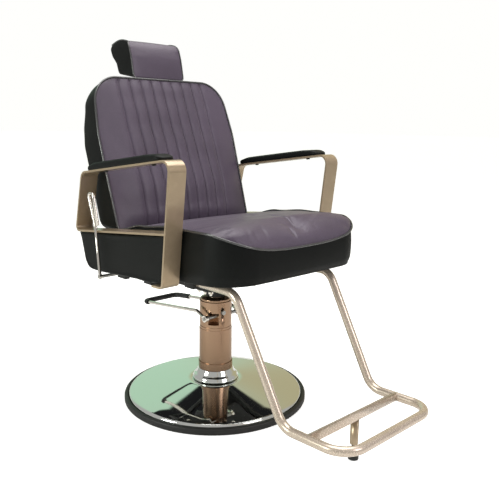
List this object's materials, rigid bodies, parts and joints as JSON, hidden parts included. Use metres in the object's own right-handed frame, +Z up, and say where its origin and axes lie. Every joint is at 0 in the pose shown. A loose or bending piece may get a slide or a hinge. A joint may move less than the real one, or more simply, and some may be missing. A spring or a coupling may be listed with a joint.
{
  "type": "barber chair",
  "caption": "Reclining hydraulic barber chair with a padded seat and back, strip-steel arms, headrest, tube footrest, foot pump and round base.",
  "frame": {"origin": "centre of the round base, on the floor", "axes": "+Z up, the chair faces -Y, the sitter's right is -X"},
  "size_m": [0.7035, 1.1606, 1.1831],
  "materials": {
    "base_rubber": "matt moulded rubber",
    "mirror_chrome": "mirror chrome",
    "cast_weight": "raw casting",
    "black_steel": "satin black paint",
    "column_metal": "satin champagne plating",
    "plain_steel": "machined steel",
    "polished_chrome": "polished chrome",
    "grip_rubber": "smooth rubber",
    "black_plastic": "matt moulded plastic",
    "frame_paint": "satin champagne paint",
    "boxing_leather": "fine-grained upholstery leather",
    "top_leather": "fine-grained upholstery leather",
    "plywood": "bare plywood"
  },
  "bodies": {
    "base": {"base_rubber_ring": "base_rubber", "base_dome": "mirror_chrome", "base_bottom_plate": "black_steel", "base_weight": "cast_weight", "column_flange": "mirror_chrome", "pump_bolts": "plain_steel", "pump_block": "cast_weight", "column_sleeve": "column_metal", "column_foot_ring": "column_metal", "pump_cylinder": "plain_steel", "pump_head": "column_metal", "oil_plug": "plain_steel", "ram_seal_cap": "black_plastic"},
    "pump_pedal": {"pedal_shaft": "plain_steel", "pedal_loop": "polished_chrome", "pedal_grip": "grip_rubber", "pump_cam": "plain_steel"},
    "pump_plunger": {"pump_plunger": "plain_steel"},
    "ram": {"ram": "polished_chrome", "ram_piston": "plain_steel"},
    "seat": {"swivel_hub": "black_steel", "seat_mount_plate": "black_steel", "plate_bolts": "plain_steel", "mechanism_plate_right": "black_steel", "mechanism_plate_left": "black_steel", "back_hinge_pins": "plain_steel", "seat_cross_bar": "black_steel", "rear_cross_tube": "black_steel", "seat_cushion": "top_leather", "seat_board": "plywood", "side_frame_right": "frame_paint", "side_frame_left": "frame_paint", "skirt_panel_right": "boxing_leather", "skirt_panel_left": "boxing_leather", "arm_pad_right": "boxing_leather", "arm_pad_left": "boxing_leather", "arm_pad_knobs": "black_plastic", "footrest_tube": "frame_paint", "footrest_cross_tube": "frame_paint", "footrest_strut": "frame_paint", "footrest_saddles": "black_steel", "gas_spring_lower_bracket": "black_steel", "gas_spring_lower_pin": "plain_steel", "lever_bearing": "black_steel"},
    "backrest": {"back_cushion": "top_leather", "headrest_socket": "black_steel", "back_rear_board": "boxing_leather", "back_hinge_arm_right": "black_steel", "back_hinge_arm_left": "black_steel", "gas_spring_upper_bracket": "black_steel", "gas_spring_upper_pin": "plain_steel"},
    "headrest": {"headrest_pad": "boxing_leather", "headrest_post": "polished_chrome"},
    "gas_cylinder": {"gas_spring_cylinder": "black_steel"},
    "gas_rod": {"gas_spring_rod": "polished_chrome"},
    "recline_lever": {"lever_shaft": "plain_steel", "recline_lever": "polished_chrome", "release_crank": "black_steel"},
    "foot_glide": {"foot_glide": "black_plastic"}
  },
  "joints": [
    {"name": "pedal_press", "type": "hinge", "parent": "base", "child": "pump_pedal", "pos_m": [0, -0.032, 0.287], "axis": [-1, 0, 0], "range_deg": [0, 22], "stiffness_Nm_per_rad": 6, "springref_deg": -28.65},
    {"name": "plunger_stroke", "type": "slide", "parent": "base", "child": "pump_plunger", "axis": [0, 0, -1], "range_m": [0, 0.0041]},
    {"name": "seat_lift", "type": "slide", "parent": "base", "child": "ram", "axis": [0, 0, 1], "range_m": [0, 0.15]},
    {"name": "seat_swivel", "type": "hinge", "parent": "ram", "child": "seat", "pos_m": [0, 0, 0.37], "axis": [0, 0, 1], "continuous": true},
    {"name": "back_recline", "type": "hinge", "parent": "seat", "child": "backrest", "pos_m": [0, 0.215, 0.535], "axis": [-1, 0, 0], "range_deg": [0, 45]},
    {"name": "headrest_height", "type": "slide", "parent": "backrest", "child": "headrest", "axis": [0, 0.3007, 0.9537], "range_m": [0, 0.08]},
    {"name": "gas_spring_tilt", "type": "hinge", "parent": "seat", "child": "gas_cylinder", "pos_m": [0, 0.225, 0.437], "axis": [-1, 0, 0], "range_deg": [0, 30]},
    {"name": "gas_spring_stroke", "type": "slide", "parent": "gas_cylinder", "child": "gas_rod", "axis": [0, 0.4977, 0.8674], "range_m": [-0.058, 0]},
    {"name": "recline_lever_pull", "type": "hinge", "parent": "seat", "child": "recline_lever", "pos_m": [-0.352, 0.132, 0.441], "axis": [-1, 0, 0], "range_deg": [0, 18], "stiffness_Nm_per_rad": 3, "springref_deg": -22.92},
    {"name": "foot_glide_screw", "type": "slide", "parent": "seat", "child": "foot_glide", "axis": [0, 0, 1], "range_m": [0, 0.02]}
  ],
  "couplings": [
    {"joint": "plunger_stroke", "follows": "pedal_press", "m_per_rad": 0.0105},
    {"joint": "gas_spring_tilt", "follows": "back_recline", "ratio": 0.65231},
    {"joint": "gas_spring_stroke", "follows": "back_recline", "m_per_rad": -0.07211}
  ]
}
